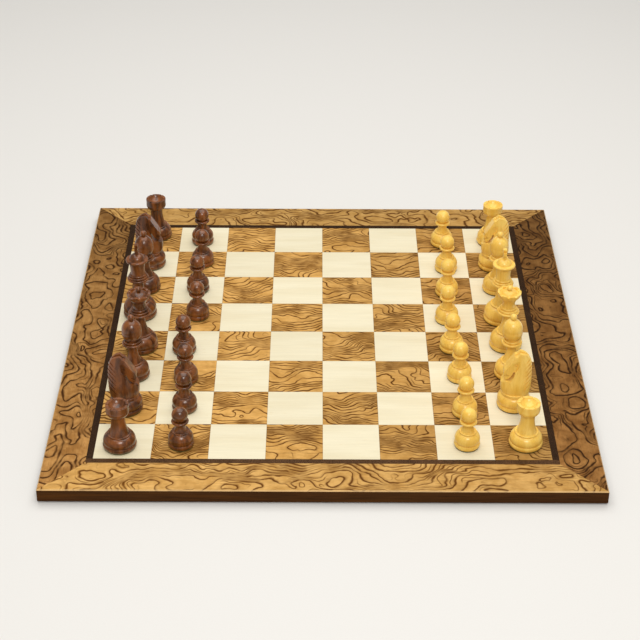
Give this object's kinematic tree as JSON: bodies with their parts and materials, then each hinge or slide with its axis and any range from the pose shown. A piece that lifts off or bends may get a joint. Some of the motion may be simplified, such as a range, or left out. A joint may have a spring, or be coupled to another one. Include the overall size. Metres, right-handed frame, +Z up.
{
  "type": "electronic chess board with men",
  "caption": "Electronic chess board: mitred figured-wood frame, inlaid squares over sensor boards, rear socket and power button, with two sides of weighted turned men that lift off.",
  "frame": {"origin": "middle of the board's footprint, at the level of the table under its feet", "axes": "+Z up, +Y away from the viewer towards the rail with the socket, +X towards the light men"},
  "size_m": [0.535, 0.535, 0.1028],
  "materials": {
    "frame_veneer": "figured golden-brown veneer with dark contour lines, satin lacquer",
    "light_veneer": "pale maple veneer, satin lacquer",
    "dark_veneer": "figured golden-brown veneer with dark contour lines, satin lacquer",
    "dark_inlay": "near-black dyed veneer line, satin lacquer",
    "beech": "plain beech",
    "fibreboard": "smooth brown fibreboard",
    "boxwood": "yellow boxwood, polished satin",
    "stained_wood": "dark brown stained wood, glossy lacquer",
    "felt": "olive felt",
    "circuit_board": "green glass-epoxy circuit board",
    "copper": "printed copper track",
    "black_plastic": "black moulded plastic, fine texture",
    "battery_foil": "satin foil pouch",
    "cable_jacket": "white flexible plastic",
    "socket_steel": "drawn steel shell",
    "screw_steel": "yellow-zinc steel"
  },
  "bodies": {
    "board": {"antenna_coils": "copper", "base_panel": "fibreboard", "base_screws": "screw_steel", "battery": "battery_foil", "battery_lead": "cable_jacket", "board_connectors": "black_plastic", "buzzer": "black_plastic", "controller_board": "circuit_board", "controller_chips": "black_plastic", "core_panel": "fibreboard", "dark_squares": "dark_veneer", "feet": "felt", "flat_cable": "cable_jacket", "inlay_strips": "dark_inlay", "light_squares": "light_veneer", "mitre_biscuits": "beech", "power_switch": "black_plastic", "rail_back": "frame_veneer", "rail_front": "frame_veneer", "rail_left": "frame_veneer", "rail_right": "frame_veneer", "sensor_boards": "circuit_board", "support_posts": "beech", "usb_socket": "socket_steel"},
    "power_button": {"power_button": "black_plastic"},
    "dark_bishop_c": {"dark_bishop_c": "stained_wood"},
    "dark_bishop_f": {"dark_bishop_f": "stained_wood"},
    "dark_king": {"dark_king": "stained_wood"},
    "dark_knight_b": {"dark_knight_b": "stained_wood"},
    "dark_knight_g": {"dark_knight_g": "stained_wood"},
    "dark_pawn_a": {"dark_pawn_a": "stained_wood"},
    "dark_pawn_b": {"dark_pawn_b": "stained_wood"},
    "dark_pawn_c": {"dark_pawn_c": "stained_wood"},
    "dark_pawn_d": {"dark_pawn_d": "stained_wood"},
    "dark_pawn_e": {"dark_pawn_e": "stained_wood"},
    "dark_pawn_f": {"dark_pawn_f": "stained_wood"},
    "dark_pawn_g": {"dark_pawn_g": "stained_wood"},
    "dark_pawn_h": {"dark_pawn_h": "stained_wood"},
    "dark_queen": {"dark_queen": "stained_wood"},
    "dark_rook_a": {"dark_rook_a": "stained_wood"},
    "dark_rook_h": {"dark_rook_h": "stained_wood"},
    "light_bishop_c": {"light_bishop_c": "boxwood"},
    "light_bishop_f": {"light_bishop_f": "boxwood"},
    "light_king": {"light_king": "boxwood"},
    "light_knight_b": {"light_knight_b": "boxwood"},
    "light_knight_g": {"light_knight_g": "boxwood"},
    "light_pawn_a": {"light_pawn_a": "boxwood"},
    "light_pawn_b": {"light_pawn_b": "boxwood"},
    "light_pawn_c": {"light_pawn_c": "boxwood"},
    "light_pawn_d": {"light_pawn_d": "boxwood"},
    "light_pawn_e": {"light_pawn_e": "boxwood"},
    "light_pawn_f": {"light_pawn_f": "boxwood"},
    "light_pawn_g": {"light_pawn_g": "boxwood"},
    "light_pawn_h": {"light_pawn_h": "boxwood"},
    "light_queen": {"light_queen": "boxwood"},
    "light_rook_a": {"light_rook_a": "boxwood"},
    "light_rook_h": {"light_rook_h": "boxwood"}
  },
  "joints": [
    {"name": "power_button_press", "type": "slide", "parent": "board", "child": "power_button", "axis": [0, -1, 0], "range_m": [0, 0.001], "stiffness_N_per_m": 600},
    {"name": "dark_bishop_c_lift", "type": "slide", "parent": "board", "child": "dark_bishop_c", "axis": [0, 0, 1], "range_m": [0, 0.1]},
    {"name": "dark_bishop_f_lift", "type": "slide", "parent": "board", "child": "dark_bishop_f", "axis": [0, 0, 1], "range_m": [0, 0.1]},
    {"name": "dark_king_lift", "type": "slide", "parent": "board", "child": "dark_king", "axis": [0, 0, 1], "range_m": [0, 0.1]},
    {"name": "dark_knight_b_lift", "type": "slide", "parent": "board", "child": "dark_knight_b", "axis": [0, 0, 1], "range_m": [0, 0.1]},
    {"name": "dark_knight_g_lift", "type": "slide", "parent": "board", "child": "dark_knight_g", "axis": [0, 0, 1], "range_m": [0, 0.1]},
    {"name": "dark_pawn_a_lift", "type": "slide", "parent": "board", "child": "dark_pawn_a", "axis": [0, 0, 1], "range_m": [0, 0.1]},
    {"name": "dark_pawn_b_lift", "type": "slide", "parent": "board", "child": "dark_pawn_b", "axis": [0, 0, 1], "range_m": [0, 0.1]},
    {"name": "dark_pawn_c_lift", "type": "slide", "parent": "board", "child": "dark_pawn_c", "axis": [0, 0, 1], "range_m": [0, 0.1]},
    {"name": "dark_pawn_d_lift", "type": "slide", "parent": "board", "child": "dark_pawn_d", "axis": [0, 0, 1], "range_m": [0, 0.1]},
    {"name": "dark_pawn_e_lift", "type": "slide", "parent": "board", "child": "dark_pawn_e", "axis": [0, 0, 1], "range_m": [0, 0.1]},
    {"name": "dark_pawn_f_lift", "type": "slide", "parent": "board", "child": "dark_pawn_f", "axis": [0, 0, 1], "range_m": [0, 0.1]},
    {"name": "dark_pawn_g_lift", "type": "slide", "parent": "board", "child": "dark_pawn_g", "axis": [0, 0, 1], "range_m": [0, 0.1]},
    {"name": "dark_pawn_h_lift", "type": "slide", "parent": "board", "child": "dark_pawn_h", "axis": [0, 0, 1], "range_m": [0, 0.1]},
    {"name": "dark_queen_lift", "type": "slide", "parent": "board", "child": "dark_queen", "axis": [0, 0, 1], "range_m": [0, 0.1]},
    {"name": "dark_rook_a_lift", "type": "slide", "parent": "board", "child": "dark_rook_a", "axis": [0, 0, 1], "range_m": [0, 0.1]},
    {"name": "dark_rook_h_lift", "type": "slide", "parent": "board", "child": "dark_rook_h", "axis": [0, 0, 1], "range_m": [0, 0.1]},
    {"name": "light_bishop_c_lift", "type": "slide", "parent": "board", "child": "light_bishop_c", "axis": [0, 0, 1], "range_m": [0, 0.1]},
    {"name": "light_bishop_f_lift", "type": "slide", "parent": "board", "child": "light_bishop_f", "axis": [0, 0, 1], "range_m": [0, 0.1]},
    {"name": "light_king_lift", "type": "slide", "parent": "board", "child": "light_king", "axis": [0, 0, 1], "range_m": [0, 0.1]},
    {"name": "light_knight_b_lift", "type": "slide", "parent": "board", "child": "light_knight_b", "axis": [0, 0, 1], "range_m": [0, 0.1]},
    {"name": "light_knight_g_lift", "type": "slide", "parent": "board", "child": "light_knight_g", "axis": [0, 0, 1], "range_m": [0, 0.1]},
    {"name": "light_pawn_a_lift", "type": "slide", "parent": "board", "child": "light_pawn_a", "axis": [0, 0, 1], "range_m": [0, 0.1]},
    {"name": "light_pawn_b_lift", "type": "slide", "parent": "board", "child": "light_pawn_b", "axis": [0, 0, 1], "range_m": [0, 0.1]},
    {"name": "light_pawn_c_lift", "type": "slide", "parent": "board", "child": "light_pawn_c", "axis": [0, 0, 1], "range_m": [0, 0.1]},
    {"name": "light_pawn_d_lift", "type": "slide", "parent": "board", "child": "light_pawn_d", "axis": [0, 0, 1], "range_m": [0, 0.1]},
    {"name": "light_pawn_e_lift", "type": "slide", "parent": "board", "child": "light_pawn_e", "axis": [0, 0, 1], "range_m": [0, 0.1]},
    {"name": "light_pawn_f_lift", "type": "slide", "parent": "board", "child": "light_pawn_f", "axis": [0, 0, 1], "range_m": [0, 0.1]},
    {"name": "light_pawn_g_lift", "type": "slide", "parent": "board", "child": "light_pawn_g", "axis": [0, 0, 1], "range_m": [0, 0.1]},
    {"name": "light_pawn_h_lift", "type": "slide", "parent": "board", "child": "light_pawn_h", "axis": [0, 0, 1], "range_m": [0, 0.1]},
    {"name": "light_queen_lift", "type": "slide", "parent": "board", "child": "light_queen", "axis": [0, 0, 1], "range_m": [0, 0.1]},
    {"name": "light_rook_a_lift", "type": "slide", "parent": "board", "child": "light_rook_a", "axis": [0, 0, 1], "range_m": [0, 0.1]},
    {"name": "light_rook_h_lift", "type": "slide", "parent": "board", "child": "light_rook_h", "axis": [0, 0, 1], "range_m": [0, 0.1]}
  ]
}
